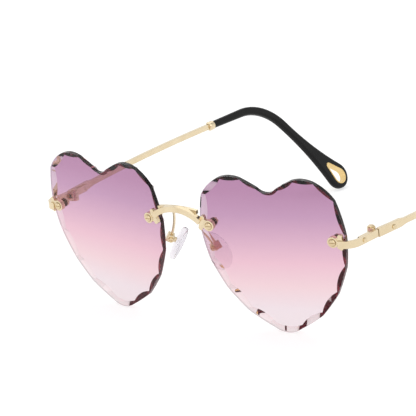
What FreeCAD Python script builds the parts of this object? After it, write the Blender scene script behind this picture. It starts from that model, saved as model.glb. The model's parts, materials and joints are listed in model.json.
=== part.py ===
# Heart-shaped rimless sunglasses, piece by piece, in millimetres.
# They stand on their lens points and temple tips: +Z is up, the lenses face -Y and the temples run to +Y.
# Left and right are as seen from the front: "left" is on -X and "right" is on +X.
import FreeCAD, Part
import math
import os
from types import SimpleNamespace
import Sketcher
from FreeCAD import Placement, Rotation, Vector

# Driving dimensions: name, value, meaning. Lengths are millimetres and angles are degrees.
DIMENSIONS = [
    ("lens_width", 56.9, "heart lens, side to side"),
    ("lens_height", 58.5, "heart lens, lobe tops to point"),
    ("lens_thickness", 2.8, "flat lens"),
    ("nose_gap", 17.3, "between the lenses, at their nearest"),
    ("lens_forward", -0.6, "middle of the lens in front of its centre"),
    ("lens_wrap", 7.3, "angle by which each lens turns back round the face"),
    ("lens_tilt", 7.5, "angle by which the lens tops lean forward"),
    ("rim_land", 1.6, "plain band at the front of the lens edge"),
    ("cusp_inset", 1.0, "bevel width where two edge facets meet"),
    ("scallop_depth", 1.2, "extra bevel width in the middle of a facet"),
    ("inner_hole_in", 4.25, "bridge hole from the lens side by the nose"),
    ("inner_hole_up", 7.9, "bridge hole above the lens centre"),
    ("outer_hole_in", 4.35, "endpiece hole from the lens side away from the nose"),
    ("outer_hole_up", 4.65, "endpiece hole above the lens centre"),
    ("fit_clearance", 0.04, "radial clearance of fixed pins and sleeves"),
    ("screw_radius", 0.58, "lens screw shank"),
    ("screw_head_radius", 1.25, "lens screw head"),
    ("screw_head_height", 0.75, "lens screw head"),
    ("screw_head_edge", 0.3, "slope round the top of a lens screw head"),
    ("screw_tail", 0.25, "lens screw past its nut"),
    ("slot_width", 0.32, "driver slot"),
    ("slot_depth", 0.3, "driver slot"),
    ("bush_wall", 0.2, "clear bush in a lens hole"),
    ("bush_flange_radius", 1.55, "bush flange behind the lens"),
    ("bush_flange", 0.35, "thickness of the bush flange"),
    ("washer_radius", 1.6, "washer behind the bush"),
    ("washer_thickness", 0.3, "washer behind the bush"),
    ("nut_radius", 1.45, "lens nut, over its corners"),
    ("nut_height", 1.1, "lens nut"),
    ("plate_thickness", 1.4, "lobed plates on the lens front"),
    ("boss_radius", 2.0, "round end of a lobed plate"),
    ("boss_ring", 0.25, "height of the ring round a screw head"),
    ("seat_radius", 1.4, "recess that a screw head sits in"),
    ("lobe_radius", 0.85, "side lobes of a plate"),
    ("lobe_out", 2.9, "side lobes from the screw, along the plate"),
    ("lobe_up", 2.0, "side lobes from the plate's middle line"),
    ("neck_height", 3.2, "neck of a plate, towards the bar or the arm"),
    ("bridge_plate_turn", 18.0, "angle by which the bridge plates point up to the arch"),
    ("arch_height", 2.1, "arched bar, along its radius"),
    ("arch_depth", 1.7, "arched bar, front to back"),
    ("arch_sweep", 40.0, "half angle of the arched bar"),
    ("stay_radius", 60.0, "outside of the flatter stay behind the arch"),
    ("stay_height", 1.4, "stay, along its radius"),
    ("stay_depth", 1.2, "stay, front to back"),
    ("stay_drop", 0.6, "stay's top below the arch's top"),
    ("bridge_clear", 0.48, "seam of arch and stay in front of the lenses' inner edges"),
    ("arm_height", 2.6, "endpiece arm"),
    ("arm_thickness", 1.1, "endpiece arm"),
    ("arm_bend", 5.2, "bend of the arm's middle line round the lens edge"),
    ("arm_lift", 0.9, "arm off the lens front"),
    ("hinge_clear", 0.45, "hinge axis past the lens side"),
    ("hinge_back", 16.7, "hinge axis behind the lens centres"),
    ("hinge_up", 4.25, "hinge middle above the lens centres"),
    ("hinge_rise", 0.5, "angle by which the arms climb to the back"),
    ("temple_rise", 1.4, "angle by which the temples climb from the arms"),
    ("strip_offset", 1.85, "from the hinge axis out to the arm's and temple's inner face"),
    ("joint_gap", 0.1, "gap between arm and temple"),
    ("knuckle_radius", 1.5, "hinge knuckles"),
    ("knuckle_height", 1.2, "each of the three hinge knuckles"),
    ("knuckle_gap", 0.1, "between knuckles"),
    ("hinge_pin_radius", 0.6, "hinge screw shank"),
    ("pin_clearance", 0.05, "radial clearance of turning pins"),
    ("hinge_head_radius", 1.2, "hinge screw head"),
    ("hinge_head_height", 0.6, "hinge screw head"),
    ("leaf_thickness", 0.8, "hinge leaves"),
    ("leaf_start", 1.7, "where a leaf begins, from the hinge axis"),
    ("leaf_end", 9.8, "where a leaf ends, from the hinge axis"),
    ("rivet_place", 8.4, "rivets from the hinge axis"),
    ("rivet_radius", 0.5, "rivet shank"),
    ("rivet_head_radius", 0.9, "rivet head"),
    ("rivet_head_height", 0.45, "rivet head"),
    ("temple_splay", 5.3, "angle by which the temples leave the hinge outwards"),
    ("temple_plate_length", 15.0, "tall front plate of the temple"),
    ("temple_plate_point", 2.8, "pointed end of that plate"),
    ("temple_plate_height", 3.0, "tall front plate of the temple"),
    ("temple_thickness", 1.3, "temple plate and bar"),
    ("temple_bar_height", 2.0, "slim temple bar"),
    ("temple_bow_radius", 478.0, "bow of the slim bar"),
    ("temple_bar_length", 75.1, "slim bar, along its bow, from the plate to the tip"),
    ("core_radius", 0.6, "core pin in the tip"),
    ("core_length", 15.0, "core pin in the tip"),
    ("ferrule_length", 3.0, "collar at the mouth of the tip"),
    ("ferrule_radius", 1.8, "collar at its thickest"),
    ("ferrule_neck", 1.3, "collar where it meets the bar"),
    ("ferrule_shoulder", 0.6, "sloped length of the collar"),
    ("tip_thickness", 2.6, "temple tip, flat way"),
    ("tip_mouth", 2.9, "temple tip's width at the ferrule"),
    ("tip_bend_width", 3.3, "temple tip's width where the bend starts"),
    ("tip_leg_width", 3.6, "temple tip's width where the bend ends"),
    ("tip_mid_width", 5.0, "temple tip's width half way down the leg"),
    ("tip_lead", 29.5, "from the ferrule to the bend's corner"),
    ("tip_bend_radius", 23.0, "middle line of the bend"),
    ("tip_bend_turn", 58.0, "angle of the bend"),
    ("tip_lean", 24.2, "angle by which the bend's plane leans in to the head"),
    ("tip_leg", 45.6, "from the bend's corner to the middle of the paddle"),
    ("paddle_radius", 5.5, "round end of the tip"),
    ("paddle_flare", 13.5, "angle at which the leg flares into the paddle"),
    ("tip_edge", 1.0, "rounded edges of the tip"),
    ("eyelet_radius", 3.3, "round end of the drop-shaped eyelet, outside"),
    ("eyelet_point", 1.2, "narrow end of the eyelet, outside"),
    ("eyelet_length", 6.6, "between the centres of the eyelet's two ends"),
    ("eyelet_wall", 0.5, "eyelet wall"),
    ("eyelet_proud", 0.15, "eyelet past each side of the tip"),
    ("pad_height", 14.4, "nose pad"),
    ("pad_width", 8.0, "nose pad"),
    ("pad_thickness", 2.4, "nose pad"),
    ("pad_edge", 0.9, "rounded edge of a nose pad"),
    ("pad_clear", 0.55, "nose pad's middle past the lens side by the nose"),
    ("pad_back", 4.0, "nose pad's middle behind the lens centres"),
    ("pad_down", 4.7, "nose pad's middle below the lens centres"),
    ("pad_splay", 35.5, "angle by which the pads' feet spread"),
    ("pad_yaw", 32.0, "angle by which the pads turn to the face"),
    ("pad_axis_up", 0.9, "pad screw above the pad's middle"),
    ("pad_axis_set", 3.3, "pad screw in front of the pad's middle"),
    ("lug_thickness", 1.0, "lug that the pad screw passes through"),
    ("lug_height", 1.6, "lug"),
    ("lug_end", 0.8, "lug past the pad screw"),
    ("box_clearance", 0.08, "between lug and pad box, each side"),
    ("box_wall", 0.5, "pad box walls"),
    ("box_height", 2.5, "pad box"),
    ("box_room", 1.25, "inside of the pad box behind the pad screw"),
    ("pad_pin_radius", 0.35, "pad screw shank"),
    ("pad_head_radius", 1.0, "pad screw head"),
    ("pad_head_height", 0.4, "pad screw head"),
    ("pad_socket_radius", 0.5, "round socket in the pad screw head"),
    ("pad_socket_depth", 0.3, "round socket in the pad screw head"),
    ("pad_wire_radius", 0.48, "pad arm wire"),
    ("pad_wire_bow", 1.2, "how far the pad arm bows back"),
    ("pad_wire_place", 2.6, "pad arm's root on the bridge, from the middle plane"),
    ("pad_wire_sink", 0.5, "length of wire that is trimmed at each end"),
    ("overrun", 1.0, "how far cutting tools pass the faces that they cut"),
]
VALUES = {name: value for name, value, meaning in DIMENSIONS}

# Heart outline, right half, from beside the notch to beside the point, where the edge facets meet.
# Across is a share of half the lens width, and up is a share of the lens height from the lens centre.
CORNER_ACROSS_SHARES = [0.131, 0.357, 0.657, 0.915, 1.0, 0.938, 0.768, 0.511, 0.188]
CORNER_UP_SHARES = [0.383, 0.441, 0.436, 0.326, 0.1, -0.098, -0.275, -0.421, -0.518]
# How far each facet's edge swells past its chord, as a share of the chord, then the point and the notch.
SWELL_SHARES = [0.012, 0.09, 0.07, 0.028, 0.02, 0.012, 0.015, 0.015]
POINT_SWELL_SHARE = 0.16
NOTCH_SWELL_SHARE = -0.22
# How deep each facet is scalloped, as a share of the scallop depth, in the same order.
SCALLOP_SHARES = [0.55, 0.95, 0.95, 1.0, 1.0, 1.0, 1.0, 0.95]
POINT_SCALLOP_SHARE = 0.6
NOTCH_SCALLOP_SHARE = 0.25

# The bridge, as shares of the distance from the middle plane to a bridge hole.
ARCH_RADIUS_SHARE = 1.328
BRIDGE_RISE_SHARE = 0.479

SIDES = {"left": -1, "right": 1}
NUT_SIDE_COUNT = 6
FULL_TURN = 360.0
AXIS_X, AXIS_Y, AXIS_Z = Vector(1, 0, 0), Vector(0, 1, 0), Vector(0, 0, 1)


class Size:
    """A length made of shares of the driving dimensions: it has a value and a sheet expression."""

    def __init__(self, terms):
        self.terms = terms

    def __add__(self, other):
        terms = dict(self.terms)
        for name, share in other.terms.items():
            terms[name] = terms.get(name, 0) + share
        return Size(terms)

    def __mul__(self, share):
        return Size({name: own * share for name, own in self.terms.items()})

    def __truediv__(self, divisor):
        return self * (1 / divisor)

    def __neg__(self):
        return self * -1

    def __sub__(self, other):
        return self + -other

    @property
    def value(self):
        return sum(share * VALUES[name] for name, share in self.terms.items())

    @property
    def text(self):
        return " + ".join(f"{share:.12g} * sizes.{name}" for name, share in self.terms.items()) or "0"


doc = FreeCAD.newDocument("heart_sunglasses")
sheet = doc.addObject("Spreadsheet::Sheet", "sizes")
for row, (name, value, meaning) in enumerate(DIMENSIONS, start=1):
    sheet.set(f"A{row}", name)
    sheet.set(f"B{row}", str(value))
    sheet.set(f"C{row}", meaning)
    sheet.setAlias(f"B{row}", name)
doc.recompute()

size = SimpleNamespace(**{name: Size({name: 1}) for name in VALUES})
NOTHING = Size({})
sub_parts = []


# Document helpers
def bind(item, prop, length):
    item.setExpression(prop, length.text)


def sub_part(item, label, frame):
    """Names a finished piece, puts it in its frame and lists it for export."""
    item.Label = label
    item.Placement = frame
    sub_parts.append(item)
    return item


def body(name):
    return doc.addObject("PartDesign::Body", name)


def sketch(owner, name, role="XY_Plane", height=NOTHING):
    drawing = owner.newObject("Sketcher::SketchObject", f"{owner.Name}_{name}")
    plane = next(item for item in owner.Origin.OriginFeatures if item.Role == role)
    drawing.AttachmentSupport = [(plane, "")]
    drawing.MapMode = "FlatFace"
    bind(drawing, "AttachmentOffset.Base.z", height)
    return drawing


def pin_point(drawing, edge, end, across, up):
    """Ties one point of a sketch to the sheet."""
    for kind, length in (("DistanceX", across), ("DistanceY", up)):
        rule = drawing.addConstraint(Sketcher.Constraint(kind, -1, 1, edge, end, length.value))
        drawing.setExpression(f"Constraints[{rule}]", length.text)


def polygon(drawing, points):
    """Closed outline of straight edges, with every corner tied to the sheet."""
    spots = [Vector(across.value, up.value, 0) for across, up in points]
    edges = [drawing.addGeometry(Part.LineSegment(a, b)) for a, b in zip(spots, spots[1:] + spots[:1])]
    for edge, after in zip(edges, edges[1:] + edges[:1]):
        drawing.addConstraint(Sketcher.Constraint("Coincident", edge, 2, after, 1))
    for edge, (across, up) in zip(edges, points):
        pin_point(drawing, edge, 1, across, up)


def trace(drawing, edges):
    """Closed outline of lines (two points) and arcs (three points)."""
    for spots in edges:
        if len(spots) == 2:
            drawing.addGeometry(Part.LineSegment(*spots))
            continue
        start, middle, end = spots
        turns_left = (middle - start).cross(end - middle).z > 0
        drawing.addGeometry(Part.Arc(start, middle, end) if turns_left else Part.Arc(end, middle, start))


def flat_edges(extrusion, past=None):
    """Names of the edges round an extrusion's two flat faces: all, or those past a place on X."""
    names = []
    for number, edge in enumerate(extrusion.Shape.Edges, start=1):
        box = edge.BoundBox
        if box.ZLength < VALUES["fit_clearance"] and (past is None or box.Center.x > past):
            names.append(f"Edge{number}")
    return names


def feature(owner, kind, drawing, **settings):
    item = owner.newObject(f"PartDesign::{kind}", f"{owner.Name}_{kind}")
    item.Profile = drawing
    for prop, setting in settings.items():
        if isinstance(setting, Size):
            bind(item, prop, setting)
        else:
            setattr(item, prop, setting)
    return item


def turned(name, profile):
    """A piece of revolution about its own Z axis, from radius and height points."""
    piece = body(name)
    drawing = sketch(piece, "profile", "XZ_Plane")
    polygon(drawing, profile)
    feature(piece, "Revolution", drawing, ReferenceAxis=(drawing, ["V_Axis"]), Angle=FULL_TURN)
    return piece


def ring(name, inside, outside, low, high):
    return turned(name, [(inside, low), (outside, low), (outside, high), (inside, high)])


def place(item, across, along, up):
    for axis, length in (("x", across), ("y", along), ("z", up)):
        bind(item, f"Placement.Base.{axis}", length)
    return item


def block(name, low, high):
    """A box from its lowest corner to its highest corner."""
    item = doc.addObject("Part::Box", name)
    for prop, start, end in zip(("Length", "Width", "Height"), low, high):
        bind(item, prop, end - start)
    return place(item, *low)


def block_beside(name, side, low, high):
    """A box whose first coordinate runs outwards on the given side."""
    if side > 0:
        return block(name, low, high)
    return block(name, (-high[0], low[1], low[2]), (-low[0], high[1], high[2]))


def rod(name, centre, low, high, radius):
    """An upright cylinder."""
    item = doc.addObject("Part::Cylinder", name)
    bind(item, "Radius", radius)
    bind(item, "Height", high - low)
    return place(item, centre[0], centre[1], low)


def drill(name, frame, low, high, radius):
    """A cylinder along the Z axis of a frame."""
    item = doc.addObject("Part::Cylinder", name)
    bind(item, "Radius", radius)
    bind(item, "Height", high - low)
    item.Placement = frame * Placement(Vector(0, 0, low.value), Rotation())
    return item


def fuse(name, items):
    item = doc.addObject("Part::MultiFuse", name)
    item.Shapes = items
    item.Refine = True
    return item


def cut(name, base, tools):
    item = doc.addObject("Part::Cut", name)
    item.Base = base
    item.Tool = tools[0] if len(tools) == 1 else fuse(f"{name}_tools", tools)
    return item


# Places that follow from the driving dimensions
LENS_OUT = (size.nose_gap + size.lens_width) / 2
INNER_HOLE = size.lens_width / 2 - size.inner_hole_in
OUTER_HOLE = size.lens_width / 2 - size.outer_hole_in
HINGE_OUT = size.nose_gap / 2 + size.lens_width + size.hinge_clear
PAD_OUT = size.nose_gap / 2 + size.pad_clear
BRIDGE_HALF = size.nose_gap / 2 + size.inner_hole_in
ARCH_RADIUS = BRIDGE_HALF * ARCH_RADIUS_SHARE
BRIDGE_RISE = size.inner_hole_up + BRIDGE_HALF * BRIDGE_RISE_SHARE
WRAP_SHARE = math.sin(math.radians(VALUES["lens_wrap"])) / 2
BOW_TURN = math.degrees(VALUES["temple_bar_length"] / VALUES["temple_bow_radius"])
LENS_FRONT = size.lens_width * WRAP_SHARE + size.lens_forward + size.lens_thickness / 2
BRIDGE_SET = LENS_FRONT + size.bridge_clear

# Frames of the assembly, before it is stood on its floor: the origin is midway between the lens centres.
TILT = Placement(Vector(), Rotation(AXIS_X, VALUES["lens_tilt"]))
FACE_ON = Placement(Vector(), Rotation(AXIS_X, 90))


def lens_frame(side):
    """X across, Y up the lens and Z out of its front."""
    turn = Rotation(AXIS_Z, side * VALUES["lens_wrap"])
    centre = Placement(Vector(side * LENS_OUT.value, 0, 0), turn)
    return TILT * centre * FACE_ON * Placement(Vector(0, 0, VALUES["lens_forward"]), Rotation())


def hole_place(side, name):
    if name == "bridge":
        return -side * INNER_HOLE.value, size.inner_hole_up.value
    return side * OUTER_HOLE.value, size.outer_hole_up.value


def hole_frame(side, name):
    return lens_frame(side) * Placement(Vector(*hole_place(side, name), 0), Rotation())


def hinge_frame(side):
    """X across, Y back along the temple and Z up the hinge screw."""
    spot = Vector(side * HINGE_OUT.value, VALUES["hinge_back"], VALUES["hinge_up"])
    return Placement(spot, Rotation(AXIS_X, VALUES["hinge_rise"]))


def leaf_frame(side):
    """The hinge frame, turned to the way the temple leaves the hinge in plan."""
    return hinge_frame(side) * Placement(Vector(), Rotation(AXIS_Z, -side * VALUES["temple_splay"]))


def temple_frame(side):
    """The leaf's frame, climbing with the temple."""
    return leaf_frame(side) * Placement(Vector(), Rotation(AXIS_X, VALUES["temple_rise"]))


def mouth_frame(side):
    """Where the bar ends in the tip: X across, Y back out of the bar and Z up."""
    turn = math.radians(BOW_TURN)
    radius = VALUES["temple_bow_radius"]
    middle = (size.strip_offset + size.temple_thickness / 2).value
    spot = Vector(side * (middle - radius * (1 - math.cos(turn))),
                  VALUES["temple_plate_length"] + radius * math.sin(turn), 0)
    return temple_frame(side) * Placement(spot, Rotation(AXIS_Z, side * BOW_TURN))


def tip_frame(side):
    """X back out of the bar, Y up in the plane of the bend and Z across."""
    lean = math.radians(VALUES["tip_lean"])
    up = Vector(side * math.sin(lean), 0, math.cos(lean))
    return mouth_frame(side) * Placement(Vector(), Rotation(AXIS_Y, up, AXIS_Y.cross(up), "XYZ"))


def pad_frame(side):
    """X forward across the pad, Y up its length and Z to the nose."""
    splay = math.radians(VALUES["pad_splay"])
    yaw = math.radians(VALUES["pad_yaw"])
    to_nose = Vector(-side * math.cos(yaw), math.sin(yaw), 0)
    up = Vector(-side * math.sin(splay), 0, math.cos(splay))
    facing = (to_nose - up * to_nose.dot(up)).normalize()
    spot = Vector(side * PAD_OUT.value, VALUES["pad_back"], -VALUES["pad_down"])
    return Placement(spot, Rotation(up.cross(facing), up, facing, "XYZ"))


# Lenses
def heart_corners():
    """Facet corners all round the heart, clockwise from beside the notch."""
    half_width = VALUES["lens_width"] / 2
    right = [Vector(across * half_width, up * VALUES["lens_height"], 0)
             for across, up in zip(CORNER_ACROSS_SHARES, CORNER_UP_SHARES)]
    return right + [Vector(-spot.x, spot.y, 0) for spot in reversed(right)]


def all_round(shares, point_share, notch_share):
    return shares + [point_share] + shares[::-1] + [notch_share]


def heart_edges(scalloped):
    """Edge arcs of the heart: swollen at the front rim, scalloped at the back face."""
    corners = heart_corners()
    chords = list(zip(corners, corners[1:] + corners[:1]))
    outward = [Vector(start.y - end.y, end.x - start.x, 0).normalize() for start, end in chords]
    swells = all_round(SWELL_SHARES, POINT_SWELL_SHARE, NOTCH_SWELL_SHARE)
    scallops = all_round(SCALLOP_SHARES, POINT_SCALLOP_SHARE, NOTCH_SCALLOP_SHARE)
    inset = VALUES["cusp_inset"] if scalloped else 0
    cusps = [corner - (before + after).normalize() * inset
             for corner, before, after in zip(corners, outward[-1:] + outward[:-1], outward)]
    edges = []
    for place_on, ((start, end), out) in enumerate(zip(chords, outward)):
        middle = (start + end) / 2 + out * (end - start).Length * swells[place_on]
        if scalloped:
            middle -= out * (inset + VALUES["scallop_depth"] * scallops[place_on])
        edges.append((cusps[place_on], middle, cusps[(place_on + 1) % len(cusps)]))
    return edges


def make_lens(side_name, side):
    piece = body(f"lens_{side_name}_body")
    back = -size.lens_thickness / 2
    rim = sketch(piece, "rim", height=-back - size.rim_land)
    trace(rim, heart_edges(scalloped=False))
    feature(piece, "Pad", rim, Length=size.rim_land)
    land = sketch(piece, "land", height=-back - size.rim_land)
    trace(land, heart_edges(scalloped=False))
    face = sketch(piece, "face", height=back)
    trace(face, heart_edges(scalloped=True))
    feature(piece, "AdditiveLoft", land, Sections=[face], Ruled=True)
    tools = []
    holes = (("bridge", -INNER_HOLE * side, size.inner_hole_up),
             ("endpiece", OUTER_HOLE * side, size.outer_hole_up))
    for name, across, up in holes:
        radius = size.screw_radius + size.bush_wall + size.fit_clearance * 2
        tools.append(rod(f"{name}_hole_{side_name}", (across, up), back - size.overrun,
                         -back + size.overrun, radius))
    sub_part(cut(f"lens_{side_name}", piece, tools), f"lens_{side_name}", lens_frame(side))


# What clamps each lens: a screw from the front, and a bush, a washer and a nut behind
BACK = -size.lens_thickness / 2
FRONT = size.lens_thickness / 2
FLANGE_BACK = BACK - size.bush_flange
WASHER_BACK = FLANGE_BACK - size.washer_thickness
NUT_BACK = WASHER_BACK - size.nut_height
SEAT = FRONT + size.plate_thickness
SHANK_HOLE = size.screw_radius + size.fit_clearance


def slot(piece, top, radius):
    """Driver slot across a screw head."""
    drawing = sketch(piece, "slot", height=top)
    half = size.slot_width / 2
    polygon(drawing, [(-radius, -half), (radius, -half), (radius, half), (-radius, half)])
    feature(piece, "Pocket", drawing, Length=size.slot_depth)


def screw(name, radius, tail, seat, head_radius, head_height, head_edge):
    top = seat + head_height
    piece = turned(name, [(NOTHING, tail), (radius, tail), (radius, seat), (head_radius, seat),
                          (head_radius, top - head_edge), (head_radius - head_edge, top), (NOTHING, top)])
    slot(piece, top, head_radius)
    return piece


def make_lens_mount(side_name, side, name):
    frame = hole_frame(side, name)
    tail = NUT_BACK - size.screw_tail
    label = f"{name}_screw_{side_name}"
    sub_part(screw(label, size.screw_radius, tail, SEAT, size.screw_head_radius, size.screw_head_height,
                   size.screw_head_edge), label, frame)
    label = f"{name}_bush_{side_name}"
    sleeve = SHANK_HOLE + size.bush_wall
    sub_part(turned(label, [(SHANK_HOLE, FLANGE_BACK), (size.bush_flange_radius, FLANGE_BACK),
                            (size.bush_flange_radius, BACK), (sleeve, BACK), (sleeve, FRONT),
                            (SHANK_HOLE, FRONT)]), label, frame)
    label = f"{name}_washer_{side_name}"
    sub_part(ring(label, SHANK_HOLE, size.washer_radius, WASHER_BACK, FLANGE_BACK), label, frame)
    label = f"{name}_nut_{side_name}"
    blank = doc.addObject("Part::Prism", f"{label}_blank")
    blank.Polygon = NUT_SIDE_COUNT
    bind(blank, "Circumradius", size.nut_radius)
    bind(blank, "Height", size.nut_height)
    place(blank, NOTHING, NOTHING, NUT_BACK)
    bore = rod(f"{label}_bore", (NOTHING, NOTHING), NUT_BACK - size.overrun, WASHER_BACK + size.overrun,
               SHANK_HOLE)
    sub_part(cut(label, blank, [bore]), label, frame)


# Lobed plates of the bridge and the endpieces
def lobed_plate(label, side, name, towards, turn):
    """Boss, neck and two lobes on the lens front, pointing to the bar or the arm."""
    pieces = [rod(f"{label}_boss", (NOTHING, NOTHING), FRONT, SEAT + size.boss_ring, size.boss_radius)]
    half_neck = size.neck_height / 2
    reach = size.lobe_out + size.lobe_radius
    pieces.append(block_beside(f"{label}_neck", towards, (NOTHING, -half_neck, FRONT),
                               (reach, half_neck, SEAT)))
    near = size.lobe_out - size.lobe_radius
    pieces.append(block_beside(f"{label}_bar", towards, (near, -size.lobe_up, FRONT),
                               (reach, size.lobe_up, SEAT)))
    for number, way in enumerate((-1, 1)):
        centre = (size.lobe_out * towards, size.lobe_up * way)
        pieces.append(rod(f"{label}_lobe_{number}", centre, FRONT, SEAT, size.lobe_radius))
    plate = fuse(f"{label}_plate", pieces)
    plate.Placement = hole_frame(side, name) * Placement(Vector(), Rotation(AXIS_Z, towards * turn))
    return plate


def seat_tools(label, side, name):
    """What is cut from a plate for the screw's shank and head."""
    centre = (NOTHING, NOTHING)
    tall = SEAT + size.boss_ring + size.boss_radius
    tools = fuse(f"{label}_seat", [rod(f"{label}_shank_hole", centre, BACK, SEAT + size.overrun, SHANK_HOLE),
                                   rod(f"{label}_head_recess", centre, SEAT, tall, size.seat_radius)])
    tools.Placement = hole_frame(side, name)
    return tools


# Bridge
def arched_bar(name, top, radius, height, sweep, front, depth):
    """A bar bent in the plane of the lenses."""
    bar = body(name)
    drawing = sketch(bar, "section", "YZ_Plane")
    low = radius - height
    polygon(drawing, [(-front, low), (depth - front, low), (depth - front, radius), (-front, radius)])
    feature(bar, "Revolution", drawing, ReferenceAxis=(drawing, ["H_Axis"]), Angle=sweep * 2, Midplane=True)
    bar.Placement = TILT * Placement(Vector(0, 0, (top - radius).value), Rotation())
    return bar


def make_bridge():
    """An arched bar and, behind it, a flatter stay whose ends stop at the lens edges."""
    arch = arched_bar("bridge_arch", BRIDGE_RISE, ARCH_RADIUS, size.arch_height, VALUES["arch_sweep"],
                      BRIDGE_SET + size.arch_depth, size.arch_depth)
    stay_sweep = math.degrees(math.asin((size.nose_gap / 2).value / VALUES["stay_radius"]))
    stay = arched_bar("bridge_stay", BRIDGE_RISE - size.stay_drop, size.stay_radius, size.stay_height,
                      stay_sweep, BRIDGE_SET, size.stay_depth)
    plates = [lobed_plate(f"bridge_{name}", side, "bridge", -side, VALUES["bridge_plate_turn"])
              for name, side in SIDES.items()]
    tools = [seat_tools(f"bridge_{name}", side, "bridge") for name, side in SIDES.items()]
    return sub_part(cut("bridge", fuse("bridge_blank", [arch, stay] + plates), tools), "bridge", Placement())


# Endpieces
def bent_strip(spots, bend, thickness):
    """Plan outline of a strip along three spots, bent at the middle one."""
    first = (spots[1] - spots[0]).normalize()
    second = (spots[2] - spots[1]).normalize()
    turn = first.getAngle(second)
    way = 1 if first.cross(second).z > 0 else -1
    tangent = bend * math.tan(turn / 2)
    start_of_bend = spots[1] - first * tangent
    centre = start_of_bend + Vector(-first.y, first.x, 0) * bend * way
    halfway = (spots[1] - centre).normalize()
    lines = []
    for shift in (-thickness / 2, thickness / 2):
        aside_first = Vector(-first.y, first.x, 0) * shift
        aside_second = Vector(-second.y, second.x, 0) * shift
        lines.append([spots[0] + aside_first, start_of_bend + aside_first,
                      centre + halfway * (bend - way * shift), spots[1] + second * tangent + aside_second,
                      spots[2] + aside_second])
    low, high = lines
    return [(low[0], low[1]), tuple(low[1:4]), (low[3], low[4]), (low[4], high[4]),
            (high[4], high[3]), (high[3], high[2], high[1]), (high[1], high[0]), (high[0], low[0])]


def plate_level(side, out):
    """Middle of the arm in front of the lens, at a place along the lens, seen in the hinge frame."""
    spot = Vector(side * out, VALUES["outer_hole_up"], (FRONT + size.arm_lift + size.arm_thickness / 2).value)
    return hinge_frame(side).inverse().multVec(lens_frame(side).multVec(spot))


def make_endpiece(side_name, side):
    label = f"endpiece_{side_name}"
    strip_middle = (size.strip_offset + size.arm_thickness / 2).value
    start = plate_level(side, (OUTER_HOLE + size.lobe_out - size.lobe_radius).value)
    ahead = plate_level(side, VALUES["lens_width"] / 2)
    slope = (ahead.y - start.y) / (ahead.x - start.x)
    corner = Vector(side * strip_middle, start.y + slope * (side * strip_middle - start.x), 0)
    end = Vector(side * strip_middle, -(size.joint_gap / 2).value, 0)
    arm = body(f"{label}_arm")
    drawing = sketch(arm, "plan", height=-size.arm_height / 2)
    flat_start = Vector(start.x, start.y, 0)
    trace(drawing, bent_strip([flat_start, corner, end], VALUES["arm_bend"], VALUES["arm_thickness"]))
    feature(arm, "Pad", drawing, Length=size.arm_height)
    arm.Placement = hinge_frame(side)
    plate = lobed_plate(label, side, "endpiece", side, 0)
    blank = fuse(f"{label}_blank", [arm, plate])
    tools = [seat_tools(label, side, "endpiece"),
             rivet_tool(f"{label}_rivet_hole", hinge_frame(side) * rivet_frame(side, -1))]
    sub_part(cut(label, blank, tools), label, Placement())


# Hinges
LEAF_IN = size.strip_offset - size.leaf_thickness
KNUCKLE_STEP = size.knuckle_height + size.knuckle_gap
HINGE_TOP = size.knuckle_height * 1.5 + size.knuckle_gap


def rivet_frame(side, way):
    """Where a rivet is, in front of the hinge axis (-1) or behind it (1), with its Z axis outwards."""
    return Placement(Vector(0, way * VALUES["rivet_place"], 0), Rotation(AXIS_Z, AXIS_X * side))


def rivet_tool(name, frame):
    """What is cut for a rivet, through leaf and strip."""
    high = size.strip_offset + size.temple_thickness + size.overrun
    return drill(name, frame, LEAF_IN - size.overrun, high, size.rivet_radius + size.fit_clearance)


def leaf(name, side, way, knuckles, height):
    """A hinge leaf with its knuckles: way is -1 on the front and 1 on the temple."""
    start, end = sorted((size.leaf_start * way, size.leaf_end * way), key=lambda length: length.value)
    half = height / 2
    pieces = [block_beside(f"{name}_plate", side, (LEAF_IN, start, -half), (size.strip_offset, end, half))]
    near = size.joint_gap * way / 2
    inner, outer = sorted((near, size.leaf_start * way), key=lambda length: length.value)
    for number, middle in enumerate(knuckles):
        low = middle - size.knuckle_height / 2
        high = middle + size.knuckle_height / 2
        pieces.append(rod(f"{name}_knuckle_{number}", (NOTHING, NOTHING), low, high, size.knuckle_radius))
        pieces.append(block_beside(f"{name}_web_{number}", side, (NOTHING, inner, low),
                                   (size.strip_offset, outer, high)))
    bore = rod(f"{name}_bore", (NOTHING, NOTHING), -HINGE_TOP - size.overrun, HINGE_TOP + size.overrun,
               size.hinge_pin_radius + size.pin_clearance)
    rivet_hole = rivet_tool(f"{name}_rivet_hole", rivet_frame(side, way))
    return cut(name, fuse(f"{name}_blank", pieces), [bore, rivet_hole])


def make_rivet(name, side, frame, way, thickness):
    """A domed rivet from the strip's outer face to the leaf's inner face."""
    face = size.strip_offset + thickness
    edge = size.rivet_head_radius - size.rivet_head_height / 2
    crown = face + size.rivet_head_height
    shoulder = face + size.rivet_head_height / 2
    piece = turned(name, [(NOTHING, LEAF_IN), (size.rivet_radius, LEAF_IN), (size.rivet_radius, face),
                          (size.rivet_head_radius, face), (size.rivet_head_radius, shoulder), (edge, crown),
                          (NOTHING, crown)])
    sub_part(piece, name, frame * rivet_frame(side, way))


def make_hinge(side_name, side):
    front = hinge_frame(side)
    back = leaf_frame(side)
    label = f"front_hinge_{side_name}"
    sub_part(leaf(label, side, -1, [-KNUCKLE_STEP, KNUCKLE_STEP], size.arm_height), label, front)
    label = f"temple_hinge_{side_name}"
    sub_part(leaf(label, side, 1, [NOTHING], size.arm_height), label, back)
    label = f"hinge_screw_{side_name}"
    sub_part(screw(label, size.hinge_pin_radius, -HINGE_TOP, HINGE_TOP, size.hinge_head_radius,
                   size.hinge_head_height, size.slot_depth), label, front)
    make_rivet(f"endpiece_rivet_{side_name}", side, front, -1, size.arm_thickness)
    make_rivet(f"temple_rivet_{side_name}", side, back, 1, size.temple_thickness)


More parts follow.
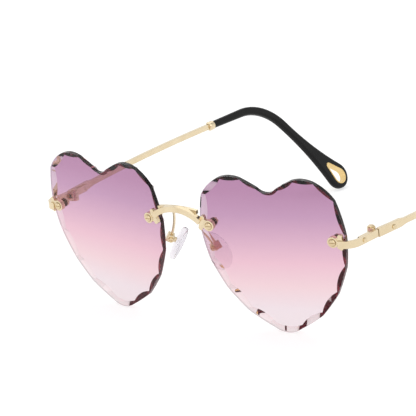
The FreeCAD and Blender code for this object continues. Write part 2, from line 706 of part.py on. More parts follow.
# Temples
def make_temple(side_name, side):
    label = f"temple_{side_name}"
    bar = body(f"{label}_bar")
    inner = size.strip_offset * side
    outer = (size.strip_offset + size.temple_thickness) * side
    tall = size.temple_plate_height / 2
    slim = size.temple_bar_height / 2
    lag = math.tan(math.radians(VALUES["temple_splay"]))
    start = size.joint_gap + (size.strip_offset + size.temple_thickness) * lag
    end = size.temple_plate_length
    neck = end - size.temple_plate_point
    plate = sketch(bar, "plate", "YZ_Plane", height=inner if side > 0 else outer)
    polygon(plate, [(start, -tall), (neck, -tall), (end, -slim), (end, slim), (neck, tall), (start, tall)])
    feature(bar, "Pad", plate, Length=size.temple_thickness)
    section = sketch(bar, "section", "XZ_Plane", height=-end)
    polygon(section, [(inner, -slim), (outer, -slim), (outer, slim), (inner, slim)])
    hub = (inner + outer) / 2 - size.temple_bow_radius * side
    ends = [Vector(hub.value, up.value, 0) for up in (-slim, slim)]
    section.toggleConstruction(section.addGeometry(Part.LineSegment(*ends)))
    feature(bar, "Revolution", section, ReferenceAxis=(section, ["Axis0"]), Angle=BOW_TURN,
            Reversed=side < 0)
    along_bar = Placement(Vector(), Rotation(AXIS_Z, AXIS_Y))
    core = drill(f"{label}_core", temple_frame(side).inverse() * mouth_frame(side) * along_bar,
                 -size.core_radius, size.core_length, size.core_radius)
    blank = fuse(f"{label}_blank", [bar, core])
    rivet = temple_frame(side).inverse() * leaf_frame(side) * rivet_frame(side, 1)
    sub_part(cut(label, blank, [rivet_tool(f"{label}_rivet_hole", rivet)]), label, temple_frame(side))


def make_ferrule(side_name, side):
    label = f"ferrule_{side_name}"
    low = -size.ferrule_length
    collar = turned(f"{label}_collar", [
        (NOTHING, low), (size.ferrule_neck, low), (size.ferrule_radius, low + size.ferrule_shoulder),
        (size.ferrule_radius, -size.ferrule_shoulder), (size.tip_mouth / 2, NOTHING), (NOTHING, NOTHING)])
    room = size.fit_clearance
    half_thick = size.temple_thickness / 2 + room
    half_tall = size.temple_bar_height / 2 + room
    passage = block(f"{label}_passage", (-half_thick, -half_tall, low - size.overrun),
                    (half_thick, half_tall, size.overrun))
    turn = Placement(Vector(), Rotation(AXIS_X, AXIS_Z * -1, AXIS_Y, "XYZ"))
    sub_part(cut(label, collar, [passage]), label, mouth_frame(side) * turn)


# Temple tips and their eyelets, drawn in the plane of the bend
def leg_way():
    turn = math.radians(VALUES["tip_bend_turn"])
    return Vector(math.cos(turn), -math.sin(turn), 0)


def paddle_middle():
    return Vector(VALUES["tip_lead"], 0, 0) + leg_way() * VALUES["tip_leg"]


def tip_edges():
    turn = math.radians(VALUES["tip_bend_turn"])
    radius = VALUES["tip_bend_radius"]
    straight = VALUES["tip_lead"] - radius * math.tan(turn / 2)
    hub = Vector(straight, -radius, 0)
    down = leg_way()
    aside = Vector(-down.y, down.x, 0)
    bend_end = Vector(VALUES["tip_lead"], 0, 0) + down * radius * math.tan(turn / 2)
    paddle = paddle_middle()
    flare = math.radians(VALUES["paddle_flare"])
    half_way = (bend_end + paddle) / 2
    lines = []
    for way in (1, -1):
        bend_half = (VALUES["tip_bend_width"] + VALUES["tip_leg_width"]) / 4 * way
        lines.append([
            Vector(0, way * VALUES["tip_mouth"] / 2, 0),
            Vector(straight, way * VALUES["tip_bend_width"] / 2, 0),
            hub + Vector(math.sin(turn / 2), math.cos(turn / 2), 0) * (radius + bend_half),
            bend_end + aside * way * VALUES["tip_leg_width"] / 2,
            half_way + aside * way * VALUES["tip_mid_width"] / 2,
            paddle + (aside * way * math.cos(flare) - down * math.sin(flare)) * VALUES["paddle_radius"]])
    top, low = lines
    return [(top[0], top[1]), tuple(top[1:4]), tuple(top[3:6]),
            (top[5], paddle + down * VALUES["paddle_radius"], low[5]),
            tuple(low[5:2:-1]), tuple(low[3:0:-1]), (low[1], low[0]), (low[0], top[0])]


def drop_edges(grow):
    """Outline of the drop-shaped eyelet, grown or shrunk all round."""
    down = leg_way()
    aside = Vector(-down.y, down.x, 0)
    big = VALUES["eyelet_radius"] + grow
    small = VALUES["eyelet_point"] + grow
    length = VALUES["eyelet_length"]
    round_end = paddle_middle() + down * (VALUES["paddle_radius"] - VALUES["eyelet_radius"]) / 4
    point_end = round_end - down * length
    lean = math.asin((big - small) / length)
    sides = [aside * way * math.cos(lean) - down * math.sin(lean) for way in (1, -1)]
    a, b = sides
    return [(point_end + a * small, round_end + a * big),
            (round_end + a * big, round_end + down * big, round_end + b * big),
            (round_end + b * big, point_end + b * small),
            (point_end + b * small, point_end - down * small, point_end + a * small)]


def make_tip(side_name, side):
    label = f"tip_{side_name}"
    piece = body(f"{label}_body")
    drawing = sketch(piece, "outline", height=-size.tip_thickness / 2)
    trace(drawing, tip_edges())
    extrusion = feature(piece, "Pad", drawing, Length=size.tip_thickness)
    doc.recompute()
    rounded = piece.newObject("PartDesign::Fillet", f"{label}_edges")
    rounded.Base = (extrusion, flat_edges(extrusion, VALUES["fit_clearance"]))
    bind(rounded, "Radius", size.tip_edge)
    hole = sketch(piece, "eyelet_hole", height=size.tip_thickness / 2)
    trace(hole, drop_edges(VALUES["fit_clearance"]))
    feature(piece, "Pocket", hole, Length=size.tip_thickness)
    bore = drill(f"{label}_bore", Placement(Vector(), Rotation(AXIS_Z, AXIS_X)), -size.overrun,
                 size.core_length + size.core_radius, size.core_radius + size.fit_clearance)
    sub_part(cut(label, piece, [bore]), label, tip_frame(side))


def make_eyelet(side_name, side):
    label = f"eyelet_{side_name}"
    piece = body(label)
    half = size.tip_thickness / 2 + size.eyelet_proud
    drawing = sketch(piece, "outline", height=-half)
    trace(drawing, drop_edges(0))
    trace(drawing, drop_edges(-VALUES["eyelet_wall"]))
    feature(piece, "Pad", drawing, Length=half * 2)
    sub_part(piece, label, tip_frame(side))


# Nose pads, their boxes and their wires
BOX_ROOM = size.lug_thickness / 2 + size.box_clearance


def pad_pin_frame(way):
    """The pad screw's axis, in the pad's frame."""
    spot = Vector(0, VALUES["pad_axis_up"], -VALUES["pad_axis_set"])
    return Placement(spot, Rotation(AXIS_Z, AXIS_X * way))


def make_nose_pad(side_name, side):
    frame = pad_frame(side)
    label = f"nose_pad_{side_name}"
    piece = body(label)
    drawing = sketch(piece, "outline", height=-size.pad_thickness / 2)
    ends = Vector(0, VALUES["pad_height"] / 2, 0)
    drawing.addGeometry(Part.Ellipse(ends, Vector(VALUES["pad_width"] / 2, 0, 0), Vector()))
    extrusion = feature(piece, "Pad", drawing, Length=size.pad_thickness)
    doc.recompute()
    rounded = piece.newObject("PartDesign::Fillet", f"{label}_edges")
    rounded.Base = (extrusion, flat_edges(extrusion))
    bind(rounded, "Radius", size.pad_edge)
    sub_part(piece, label, frame)

    label = f"pad_lug_{side_name}"
    half = size.lug_thickness / 2
    axis_height = size.pad_axis_up
    depth = -size.pad_axis_set
    low = (-half, axis_height - size.lug_height / 2, depth - size.lug_end)
    high = (half, axis_height + size.lug_height / 2, -size.pad_thickness / 2)
    blank = block(f"{label}_blank", low, high)
    bore = drill(f"{label}_bore", pad_pin_frame(1), -half - size.overrun, half + size.overrun,
                 size.pad_pin_radius + size.pin_clearance)
    sub_part(cut(label, blank, [bore]), label, frame)


def make_pad_box(side_name, side):
    frame = pad_frame(side)
    label = f"pad_box_{side_name}"
    axis_height = size.pad_axis_up
    depth = -size.pad_axis_set
    wide = BOX_ROOM + size.box_wall
    half = size.box_height / 2
    back = block(f"{label}_back", (-wide, axis_height - half, depth - size.box_room - size.box_wall),
                 (wide, axis_height + half, depth))
    cheeks = drill(f"{label}_cheeks", pad_pin_frame(1), -wide, wide, half)
    cap = block(f"{label}_cap", (-wide, axis_height + half, depth - size.box_room - size.box_wall),
                (wide, axis_height + half + size.box_wall, depth + half / 2))
    neck = block(f"{label}_neck", (-wide, axis_height, depth), (wide, axis_height + half, depth + half / 2))
    shell = fuse(f"{label}_shell", [back, cheeks, neck, cap])
    room = block(f"{label}_room", (-BOX_ROOM, axis_height - half - size.overrun, depth - size.box_room),
                 (BOX_ROOM, axis_height + half, depth + half + size.overrun))
    bore = drill(f"{label}_bore", pad_pin_frame(1), -wide - size.overrun, wide + size.overrun,
                 size.pad_pin_radius + size.fit_clearance)
    box = sub_part(cut(label, shell, [room, bore]), label, frame)

    label = f"pad_screw_{side_name}"
    top = wide + size.pad_head_height
    floor = top - size.pad_socket_depth
    piece = turned(label, [(NOTHING, -wide), (size.pad_pin_radius, -wide), (size.pad_pin_radius, wide),
                           (size.pad_head_radius, wide), (size.pad_head_radius, top),
                           (size.pad_socket_radius, top), (size.pad_socket_radius, floor), (NOTHING, floor)])
    sub_part(piece, label, frame * pad_pin_frame(side))
    return box


def make_pad_arm(side_name, side, bridge, box):
    """A bowed wire from the back of the bridge to the back of the pad box, trimmed to both."""
    label = f"pad_arm_{side_name}"
    root = TILT.multVec(Vector(
        side * VALUES["pad_wire_place"],
        (size.stay_depth - BRIDGE_SET - size.pad_wire_sink).value,
        (BRIDGE_RISE - size.stay_drop - size.stay_height / 2).value))
    foot = pad_frame(side).multVec(Vector(
        0, (size.pad_axis_up + size.box_height / 2 + size.box_wall / 2).value,
        -(size.pad_axis_set + size.box_room / 4).value))
    chord = foot - root
    back = (AXIS_Y - chord * (AXIS_Y.dot(chord) / chord.dot(chord))).normalize()
    bow = VALUES["pad_wire_bow"]
    wire_radius = (chord.Length ** 2 / 4 + bow ** 2) / (2 * bow)
    hub = (root + foot) / 2 + back * (bow - wire_radius)
    to_root = (root - hub).normalize()
    axle = to_root.cross((foot - hub).normalize()).normalize()
    wire = body(f"{label}_wire")
    drawing = sketch(wire, "section", "XZ_Plane")
    drawing.addGeometry(Part.Circle(Vector(wire_radius, 0, 0), AXIS_Z, VALUES["pad_wire_radius"]))
    sweep = math.degrees((root - hub).getAngle(foot - hub))
    feature(wire, "Revolution", drawing, ReferenceAxis=(drawing, ["V_Axis"]), Angle=sweep)
    wire.Placement = Placement(hub, Rotation(to_root, axle.cross(to_root), axle, "XYZ"))
    sub_part(cut(label, wire, [bridge, box]), label, Placement())


# Assembly
bridge = make_bridge()
for side_name, side in SIDES.items():
    make_lens(side_name, side)
    make_lens_mount(side_name, side, "bridge")
    make_lens_mount(side_name, side, "endpiece")
    make_endpiece(side_name, side)
    make_hinge(side_name, side)
    make_temple(side_name, side)
    make_ferrule(side_name, side)
    make_tip(side_name, side)
    make_eyelet(side_name, side)
    make_nose_pad(side_name, side)
    box = make_pad_box(side_name, side)
    make_pad_arm(side_name, side, bridge, box)
doc.recompute()

# Stand the assembly on its floor, with the origin under the middle of its box
whole = FreeCAD.BoundBox()
for item in sub_parts:
    whole.add(item.Shape.BoundBox)
stand = Placement(Vector(-whole.Center.x, -whole.Center.y, -whole.ZMin), Rotation())

failed = [item.Label for item in doc.Objects if {"Invalid", "Error"} & set(item.State)]
failed += [item.Label for item in sub_parts if item.Shape.isNull() or not item.Shape.isValid()]
if failed:
    raise RuntimeError(f"these did not build: {failed}")

os.makedirs("parts", exist_ok=True)
for item in sub_parts:
    shape = item.Shape.copy()
    shape.Placement = stand * shape.Placement
    shape.exportStep(f"parts/{item.Label}.step")
print(f"{len(sub_parts)} sub-parts, stood by {stand.Base}")
print(f"box {whole.XLength:.2f} x {whole.YLength:.2f} x {whole.ZLength:.2f} mm")
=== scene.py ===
import json
import math

import bmesh
import bpy
from mathutils import Matrix, Vector


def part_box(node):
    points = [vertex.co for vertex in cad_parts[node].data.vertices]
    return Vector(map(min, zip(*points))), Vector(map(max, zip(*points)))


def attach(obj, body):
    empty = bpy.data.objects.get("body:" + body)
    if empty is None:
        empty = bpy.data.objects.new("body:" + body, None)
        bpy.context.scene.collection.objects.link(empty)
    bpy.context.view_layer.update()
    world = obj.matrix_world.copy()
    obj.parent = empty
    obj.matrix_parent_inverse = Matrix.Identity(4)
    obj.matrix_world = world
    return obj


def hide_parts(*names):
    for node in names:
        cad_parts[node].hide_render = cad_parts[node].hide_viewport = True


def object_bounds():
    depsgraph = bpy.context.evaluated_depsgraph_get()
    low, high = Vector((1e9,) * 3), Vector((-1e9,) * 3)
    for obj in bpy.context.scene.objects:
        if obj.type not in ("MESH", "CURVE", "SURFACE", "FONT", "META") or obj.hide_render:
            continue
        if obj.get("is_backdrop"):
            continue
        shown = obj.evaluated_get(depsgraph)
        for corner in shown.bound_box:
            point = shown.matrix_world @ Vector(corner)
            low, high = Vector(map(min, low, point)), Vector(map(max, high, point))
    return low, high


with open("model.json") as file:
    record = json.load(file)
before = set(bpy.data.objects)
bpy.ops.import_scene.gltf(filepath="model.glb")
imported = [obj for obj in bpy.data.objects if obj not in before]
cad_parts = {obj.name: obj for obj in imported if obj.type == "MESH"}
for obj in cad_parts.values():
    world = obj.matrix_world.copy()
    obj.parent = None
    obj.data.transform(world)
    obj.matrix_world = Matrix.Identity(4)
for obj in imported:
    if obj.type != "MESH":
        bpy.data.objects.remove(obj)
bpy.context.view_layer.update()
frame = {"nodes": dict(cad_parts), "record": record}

# Looks of the heart-shaped rimless sunglasses, in metres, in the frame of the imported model.
SIDES = {"left": -1, "right": 1}
MM = 0.001
WHITE = (1.0, 1.0, 1.0, 1.0)
nodes = frame["nodes"]
scene = bpy.context.scene
scene.view_settings.view_transform = "Standard"


# Camera at the photograph's viewing angle
CAMERA_AZIMUTH = math.radians(39.386)
CAMERA_ELEVATION = math.radians(16.532)
CAMERA_ROLL = math.radians(-5.237)
CAMERA_TARGET = Vector((0, -78.810, 31.893)) * MM
CAMERA_DISTANCE = 977.7 * MM
CAMERA_FOCAL = 240.1
CAMERA_SHIFT = (0.0408, 0.0679)
CAMERA_CLIP = (0.01, 200.0)


def make_camera():
    level = math.cos(CAMERA_ELEVATION)
    sine, cosine = math.sin(CAMERA_AZIMUTH), math.cos(CAMERA_AZIMUTH)
    back = Vector((sine * level, -cosine * level, math.sin(CAMERA_ELEVATION)))
    right = Vector((cosine, sine, 0))
    up = back.cross(right)
    turned_right = right * math.cos(CAMERA_ROLL) + up * math.sin(CAMERA_ROLL)
    turned_up = up * math.cos(CAMERA_ROLL) - right * math.sin(CAMERA_ROLL)
    data = bpy.data.cameras.new("camera")
    data.lens = CAMERA_FOCAL
    data.shift_x, data.shift_y = CAMERA_SHIFT
    data.clip_start, data.clip_end = CAMERA_CLIP
    camera = bpy.data.objects.new("camera", data)
    scene.collection.objects.link(camera)
    turn = Matrix((turned_right, turned_up, back)).transposed().to_4x4()
    camera.matrix_world = Matrix.Translation(CAMERA_TARGET + back * CAMERA_DISTANCE) @ turn
    scene.camera = camera


# Shader helpers
SOFT_EDGE_SAMPLES = 6


class Shader:
    """A material's or world's node tree, with short calls to add and join nodes."""

    def __init__(self, owner):
        owner.use_nodes = True
        self.owner = owner
        self.tree = owner.node_tree
        self.tree.nodes.clear()

    def node(self, kind, inputs=None, **settings):
        item = self.tree.nodes.new(f"ShaderNode{kind}")
        for name, setting in settings.items():
            setattr(item, name, setting)
        for name, value in (inputs or {}).items():
            if isinstance(value, bpy.types.NodeSocket):
                self.tree.links.new(value, item.inputs[name])
            else:
                item.inputs[name].default_value = value
        return item

    def place(self):
        return self.node("TexCoord").outputs["Object"]

    def calc(self, operation, *values):
        return self.node("Math", dict(enumerate(values)), operation=operation).outputs["Value"]

    def mix(self, share, first, second):
        return self.node("MixShader", {0: share, 1: first, 2: second}).outputs["Shader"]

    def noise(self, scale, detail=3.0, roughness=0.5):
        inputs = {"Vector": self.place(), "Scale": scale, "Detail": detail, "Roughness": roughness}
        return self.node("TexNoise", inputs).outputs["Fac"]

    def span(self, value, low, high, start=0.0, end=1.0):
        inputs = {"Value": value, "From Min": start, "From Max": end, "To Min": low, "To Max": high}
        return self.node("MapRange", inputs).outputs["Result"]

    def ramp(self, value, stops):
        item = self.node("ValToRGB", {"Fac": value})
        elements = item.color_ramp.elements
        while len(elements) < len(stops):
            elements.new(0.5)
        for element, (spot, colour) in zip(elements, stops):
            element.position = spot
            element.color = colour
        return item.outputs["Color"]

    def bump(self, height, strength, distance, normal=None):
        inputs = {"Height": height, "Strength": strength, "Distance": distance}
        if normal is not None:
            inputs["Normal"] = normal
        return self.node("Bump", inputs).outputs["Normal"]

    def soft_edge(self, radius):
        """Normals that round off the edges, as polishing does."""
        return self.node("Bevel", {"Radius": radius}, samples=SOFT_EDGE_SAMPLES).outputs["Normal"]

    def along(self, direction):
        """How squarely the surface faces a direction or its opposite, from 0 to 1."""
        normal = self.node("NewGeometry").outputs["True Normal"]
        dot = self.node("VectorMath", {0: normal, 1: direction}, operation="DOT_PRODUCT").outputs["Value"]
        return self.calc("ABSOLUTE", dot)

    def seen(self):
        """1 for what the camera sees straight on, in a reflection or through glass."""
        path = self.node("LightPath")
        first = self.calc("MAXIMUM", path.outputs["Is Camera Ray"], path.outputs["Is Glossy Ray"])
        return self.calc("MAXIMUM", first, path.outputs["Is Transmission Ray"])

    def surface(self, shader, volume=None):
        kind = "OutputWorld" if isinstance(self.owner, bpy.types.World) else "OutputMaterial"
        inputs = {"Surface": shader}
        if volume is not None:
            inputs["Volume"] = volume
        self.node(kind, inputs)
        return self.owner


def linear(red, green, blue):
    """A colour that is written as 8-bit sRGB."""
    out = []
    for part in (red, green, blue):
        share = part / 255
        out.append(share / 12.92 if share <= 0.04045 else ((share + 0.055) / 1.055) ** 2.4)
    return (*out, 1.0)


def shade(name):
    return Shader(bpy.data.materials.new(name))


# Materials. Each noise is a scale, a detail and at times a roughness, and most of it lies between two values.
NOISE_LOW, NOISE_HIGH = 0.3, 0.7
GRAIN_DEPTH = 0.03 * MM
LENS_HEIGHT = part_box("lens_left")[1].z
LENS_TINTS = [(0.0, linear(245, 244, 245)), (0.15, linear(243, 239, 243)), (0.3, linear(244, 223, 228)),
              (0.45, linear(238, 204, 218)), (0.6, linear(219, 184, 207)), (0.75, linear(198, 162, 194)),
              (0.9, linear(186, 145, 180)), (1.0, linear(182, 140, 176))]
LENS_TINT_RISE = 0.05
LENS_MIDDLE = (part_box("lens_right")[0].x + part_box("lens_right")[1].x) / 2
LENS_IOR = 1.59
LENS_WRAP = math.radians(7.3)
LENS_TILT = math.radians(7.5)
LENS_FACE_LIMIT = 0.985
LENS_DEPTH_COLOUR = linear(190, 40, 90)
LENS_DEPTH_DENSITY = 60.0
LENS_SHEEN_TINT = (0.4, 0.4, 0.4, 1.0)
# Painted shade on the edge facets: dark grey at the top of the lens and burgundy lower down. It stands in for
# the darkness that light bent inside the bevel gives.
LENS_EDGE_SHADE_TINTS = [(0.0, linear(235, 55, 95)), (0.5, linear(205, 50, 85)), (0.75, linear(95, 48, 60)),
                   (1.0, linear(65, 50, 55))]
LENS_EDGE_SHADE_SHARE = 0.12
LENS_WALL_LIMIT = 0.35
LENS_WALL_CLEARNESS = 0.65
LENS_SMEAR_NOISE = (90.0, 3.0)
LENS_SMEAR_ROUGHNESS = 0.02
LENS_SMEAR_FROM, LENS_SMEAR_FULL = 0.45, 0.75


def lens_axis(side):
    level = math.cos(LENS_WRAP)
    return (side * math.sin(LENS_WRAP), -level * math.cos(LENS_TILT), -level * math.sin(LENS_TILT))


def lens_material():
    """Tint that fades to clear down the two faces of a lens, with polished facets round its edge that carry
    painted shade, dark at the top and burgundy lower down.
    """
    glass = shade("tinted_lens")
    spot = glass.node("SeparateXYZ", {"Vector": glass.place()})
    aside = glass.calc("ABSOLUTE", spot.outputs["X"])
    most = LENS_TINT_RISE * LENS_MIDDLE
    rise = glass.span(aside, -most, most, 0.0, 2 * LENS_MIDDLE)
    up = glass.span(glass.calc("SUBTRACT", spot.outputs["Z"], rise), 0.0, 1.0, 0.0, LENS_HEIGHT)
    fade = glass.ramp(up, LENS_TINTS)
    left, right = (glass.along(lens_axis(side)) for side in SIDES.values())
    squarely = glass.calc("MAXIMUM", left, right)
    on_face = glass.calc("GREATER_THAN", squarely, LENS_FACE_LIMIT)
    tint = glass.node("MixRGB", {"Fac": on_face, "Color1": WHITE, "Color2": fade}).outputs["Color"]
    smear = glass.span(glass.noise(*LENS_SMEAR_NOISE), 0.0, LENS_SMEAR_ROUGHNESS,
                       LENS_SMEAR_FROM, LENS_SMEAR_FULL)
    solid = glass.node("BsdfPrincipled", {"Base Color": tint, "Roughness": smear, "IOR": LENS_IOR,
                                          "Specular Tint": LENS_SHEEN_TINT,
                                          "Transmission Weight": 1.0}).outputs["BSDF"]
    # Painted shade: a share of matt dark-to-burgundy colour on the edge facets, set by height.
    painted_edge_shade = glass.node("BsdfDiffuse", {"Color": glass.ramp(up, LENS_EDGE_SHADE_TINTS)}).outputs["BSDF"]
    cut = glass.mix(glass.span(on_face, LENS_EDGE_SHADE_SHARE, 0.0), solid, painted_edge_shade)
    clear = glass.node("BsdfTransparent", {"Color": tint}).outputs["BSDF"]
    # The wall round the edge is partly clear from inside the lens, and all of the lens is clear to the lamps.
    path = glass.node("LightPath")
    wall = glass.calc("LESS_THAN", squarely, LENS_WALL_LIMIT)
    inside = glass.calc("MULTIPLY", wall, path.outputs["Is Transmission Ray"])
    let_out = glass.span(inside, 0.0, LENS_WALL_CLEARNESS)
    through = glass.calc("MAXIMUM", let_out, path.outputs["Is Shadow Ray"])
    mixed = glass.mix(through, cut, clear)
    depth = glass.node("VolumeAbsorption", {"Color": LENS_DEPTH_COLOUR, "Density": LENS_DEPTH_DENSITY})
    return glass.surface(mixed, depth.outputs["Volume"])


METAL_EDGE = 0.2 * MM
METAL_CLOUD_NOISE = (160.0, 4.0)
METAL_GLOSS_NOISE = (1400.0, 4.0, 0.6)
METAL_GLOSS_SHARES = (0.7, 1.4)
METAL_MARK_NOISE = (5200.0, 2.0)
METAL_MARK_STRENGTH = 0.06
METAL_MARK_DEPTH = 0.02 * MM


def metal_material(name, light, dark, rough):
    """Polished plating: a little uneven in colour and gloss, with faint polishing marks."""
    metal = shade(name)
    colour = metal.ramp(metal.noise(*METAL_CLOUD_NOISE), [(NOISE_LOW, dark), (NOISE_HIGH, light)])
    low, high = (rough * share for share in METAL_GLOSS_SHARES)
    gloss = metal.span(metal.noise(*METAL_GLOSS_NOISE), low, high, NOISE_LOW, NOISE_HIGH)
    marks = metal.bump(metal.noise(*METAL_MARK_NOISE), METAL_MARK_STRENGTH, METAL_MARK_DEPTH,
                       metal.soft_edge(METAL_EDGE))
    shine = metal.node("BsdfPrincipled", {"Base Color": colour, "Metallic": 1.0, "Roughness": gloss,
                                          "Normal": marks})
    return metal.surface(shine.outputs["BSDF"])


TIP_IOR = 1.5
TIP_SPECULAR = 0.2
TIP_TINTS = [(0.35, linear(15, 15, 15)), (0.7, linear(23, 22, 22))]
TIP_CLOUD_NOISE = (220.0, 5.0)
TIP_GLOSS_NOISE = (900.0, 4.0)
TIP_GLOSS_SPAN = (0.2, 0.34)
TIP_GRAIN_NOISE = (3600.0, 3.0)
TIP_GRAIN_STRENGTH = 0.08


def tip_material():
    """Black moulded plastic with a fine grain and a soft, uneven gloss."""
    plastic = shade("black_tip")
    colour = plastic.ramp(plastic.noise(*TIP_CLOUD_NOISE), TIP_TINTS)
    gloss = plastic.span(plastic.noise(*TIP_GLOSS_NOISE), *TIP_GLOSS_SPAN, NOISE_LOW, NOISE_HIGH)
    grain = plastic.bump(plastic.noise(*TIP_GRAIN_NOISE), TIP_GRAIN_STRENGTH, GRAIN_DEPTH)
    shine = plastic.node("BsdfPrincipled", {"Base Color": colour, "Roughness": gloss, "IOR": TIP_IOR,
                                            "Specular IOR Level": TIP_SPECULAR, "Normal": grain})
    return plastic.surface(shine.outputs["BSDF"])


CLEAR_CLOUD_NOISE = (420.0, 3.0)
CLEAR_GLOSS_NOISE = (700.0, 3.0)
CLEAR_GLOSS_SHARES = (0.6, 1.4)
CLEAR_GRAIN_DETAIL = 2.0
CLEAR_GRAIN_STRENGTH = 0.008
CLEAR_DEPTH_COLOUR = (0.72, 0.69, 0.74, 1.0)
CLEAR_DEPTH_DENSITY = 95.0


def clear_material(name, dark, light, ior, rough, clearness, grain_scale):
    """Clear moulded plastic or silicone, slightly cloudy."""
    clear = shade(name)
    tint = clear.ramp(clear.noise(*CLEAR_CLOUD_NOISE), [(NOISE_LOW, dark), (NOISE_HIGH, light)])
    low, high = (rough * share for share in CLEAR_GLOSS_SHARES)
    gloss = clear.span(clear.noise(*CLEAR_GLOSS_NOISE), low, high, NOISE_LOW, NOISE_HIGH)
    grain = clear.bump(clear.noise(grain_scale, CLEAR_GRAIN_DETAIL), CLEAR_GRAIN_STRENGTH, GRAIN_DEPTH)
    solid = clear.node("BsdfPrincipled", {"Base Color": tint, "Roughness": gloss, "IOR": ior,
                                          "Transmission Weight": clearness, "Normal": grain}).outputs["BSDF"]
    through = clear.node("BsdfTransparent", {"Color": tint}).outputs["BSDF"]
    mixed = clear.mix(clear.node("LightPath").outputs["Is Shadow Ray"], solid, through)
    depth = clear.node("VolumeAbsorption", {"Color": CLEAR_DEPTH_COLOUR, "Density": CLEAR_DEPTH_DENSITY})
    return clear.surface(mixed, depth.outputs["Volume"])


SLOT_MATERIALS = {
    "lens": lens_material(),
    "gold": metal_material("pale_gold", linear(231, 215, 183), linear(222, 203, 168), rough=0.2),
    "screw_gold": metal_material("screw_gold", linear(228, 209, 173), linear(217, 196, 158), rough=0.22),
    "eyelet_gold": metal_material("yellow_gold", linear(240, 212, 152), linear(231, 198, 134), rough=0.18),
    "tip_black": tip_material(),
    "pad_clear": clear_material("clear_silicone", linear(251, 250, 252), linear(254, 253, 254),
                                ior=1.08, rough=0.14, clearness=0.95, grain_scale=2600.0),
    "bush_clear": clear_material("clear_nylon", linear(240, 236, 236), linear(248, 246, 246),
                                 ior=1.5, rough=0.08, clearness=1.0, grain_scale=3000.0),
}


def dress_nodes():
    for row in frame["record"]["subparts"]:
        mesh = nodes[row["node"]].data
        mesh.materials.clear()
        mesh.materials.append(SLOT_MATERIALS[row["material_slot"]])


# Nose pads: soft crowned drops
PAD_HALF_WIDTH = 3.95 * MM
PAD_HALF_HEIGHT = 7.15 * MM
PAD_HALF_THICK = 1.2 * MM
PAD_SPLAY = math.radians(35.5)
PAD_YAW = math.radians(32.0)
PAD_MIDDLE = Vector((9.2, -74.810, 27.193)) * MM
PAD_RINGS = 12
PAD_SPOKES = 48
PAD_ROUNDNESS = 4.5
PAD_NARROWING = 0.08
PAD_BOSS_UP = 0.9 * MM
PAD_BOSS_HEIGHT = 0.4 * MM
PAD_BOSS_WIDTH = 1.5 * MM


def pad_matrix(side):
    """X forward across the pad, Y up its length and Z to the nose."""
    to_nose = Vector((-side * math.cos(PAD_YAW), math.sin(PAD_YAW), 0))
    up = Vector((-side * math.sin(PAD_SPLAY), 0, math.cos(PAD_SPLAY)))
    facing = (to_nose - up * to_nose.dot(up)).normalized()
    turn = Matrix((up.cross(facing), up, facing)).transposed().to_4x4()
    return Matrix.Translation(Vector((side * PAD_MIDDLE.x, PAD_MIDDLE.y, PAD_MIDDLE.z))) @ turn


def new_piece(name, mesh, matrix, body, slot):
    item = bpy.data.objects.new(name, mesh)
    scene.collection.objects.link(item)
    item.matrix_world = matrix
    mesh.materials.append(SLOT_MATERIALS[slot])
    for face in mesh.polygons:
        face.use_smooth = True
    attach(item, body)
    return item


def pad_mesh(name):
    """A crowned drop, narrower at its top, with a swelling behind where the lug goes in."""
    work = bmesh.new()

    def spot(ring, spoke, way):
        share = math.sin(ring / PAD_RINGS * math.pi / 2)
        angle = spoke / PAD_SPOKES * 2 * math.pi
        up = math.sin(angle)
        across = math.cos(angle) * PAD_HALF_WIDTH * (1 - PAD_NARROWING * up) * share
        along = up * PAD_HALF_HEIGHT * share
        thick = PAD_HALF_THICK * max(0.0, 1 - share ** PAD_ROUNDNESS) ** (1 / PAD_ROUNDNESS)
        if way < 0:
            away = (across ** 2 + (along - PAD_BOSS_UP) ** 2) / PAD_BOSS_WIDTH ** 2
            thick += PAD_BOSS_HEIGHT * math.exp(-away * away)
        return Vector((across, along, way * thick))

    rim = [work.verts.new(spot(PAD_RINGS, spoke, 1)) for spoke in range(PAD_SPOKES)]
    for way in (1, -1):
        outer = rim
        for ring in range(PAD_RINGS - 1, 0, -1):
            inner = [work.verts.new(spot(ring, spoke, way)) for spoke in range(PAD_SPOKES)]
            for number in range(PAD_SPOKES):
                after = (number + 1) % PAD_SPOKES
                work.faces.new((outer[number], outer[after], inner[after], inner[number]))
            outer = inner
        middle = work.verts.new(spot(0, 0, way))
        for number in range(PAD_SPOKES):
            work.faces.new((outer[number], outer[(number + 1) % PAD_SPOKES], middle))
    bmesh.ops.recalc_face_normals(work, faces=work.faces)
    mesh = bpy.data.meshes.new(name)
    work.to_mesh(mesh)
    work.free()
    return mesh


def make_nose_pads():
    for side_name, side in SIDES.items():
        body = f"nose_pad_{side_name}"
        name = f"soft_pad_{side_name}"
        soft = new_piece(name, pad_mesh(name), pad_matrix(side), body, "pad_clear")
        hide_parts(body)


# Studio: a white floor, an even surround and two soft lamps
FLOOR_HALF = 40.0
FLOOR_ALBEDO = 0.8
FLOOR_SHADOW_SHARE = 0.5
FLOOR_GLOW = 0.635
WORLD_STRENGTH = 0.55
OVERHEAD_STRENGTH = 0.5
OVERHEAD_FROM, OVERHEAD_FULL = 0.35, 0.75
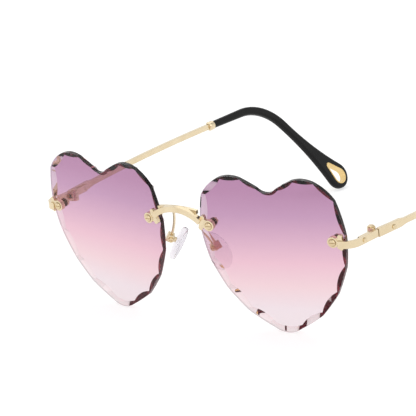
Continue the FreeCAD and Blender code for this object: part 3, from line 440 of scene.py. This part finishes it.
# Each lamp's name, place, width and power
LAMPS = [("top_lamp", (-0.25, 0.15, 0.95), 1.5, 5.9), ("front_lamp", (0.5, -0.9, 0.55), 1.0, 2.2)]


def make_floor():
    mesh = bpy.data.meshes.new("floor")
    half = FLOOR_HALF
    corners = [(-half, -half, 0), (half, -half, 0), (half, half, 0), (-half, half, 0)]
    mesh.from_pydata(corners, [], [(0, 1, 2, 3)])
    floor = bpy.data.objects.new("floor", mesh)
    scene.collection.objects.link(floor)
    paper = shade("white_floor")
    matt, shaded = (paper.node("BsdfDiffuse", {"Color": (grey, grey, grey, 1.0)}).outputs["BSDF"]
                    for grey in (FLOOR_ALBEDO, FLOOR_SHADOW_SHARE))
    glow = paper.node("Emission", {"Color": WHITE, "Strength": FLOOR_GLOW}).outputs["Emission"]
    white = paper.node("AddShader", {0: shaded, 1: glow}).outputs["Shader"]
    mesh.materials.append(paper.surface(paper.mix(paper.seen(), matt, white)))
    floor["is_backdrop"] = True


def make_world():
    surround = bpy.data.worlds.new("surround")
    scene.world = surround
    light = Shader(surround)
    even = light.node("Background", {"Color": WHITE, "Strength": WORLD_STRENGTH}).outputs["Background"]
    way = light.node("SeparateXYZ", {"Vector": light.node("TexCoord").outputs["Generated"]}).outputs["Z"]
    overhead = light.span(way, 0.0, 1.0, OVERHEAD_FROM, OVERHEAD_FULL)
    mirrored = light.calc("MULTIPLY", overhead, light.node("LightPath").outputs["Is Glossy Ray"])
    strength = light.span(mirrored, 1.0, OVERHEAD_STRENGTH)
    white = light.node("Background", {"Color": WHITE, "Strength": strength}).outputs["Background"]
    light.surface(light.mix(light.seen(), even, white))


def make_lamps():
    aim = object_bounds()[0].lerp(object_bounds()[1], 0.5)
    for name, spot, width, power in LAMPS:
        data = bpy.data.lights.new(name, "AREA")
        data.size = width
        data.energy = power
        lamp = bpy.data.objects.new(name, data)
        scene.collection.objects.link(lamp)
        lamp.location = spot
        lamp.rotation_euler = (aim - Vector(spot)).to_track_quat("-Z", "Y").to_euler()


make_camera()
dress_nodes()
make_nose_pads()
make_floor()
make_world()
make_lamps()
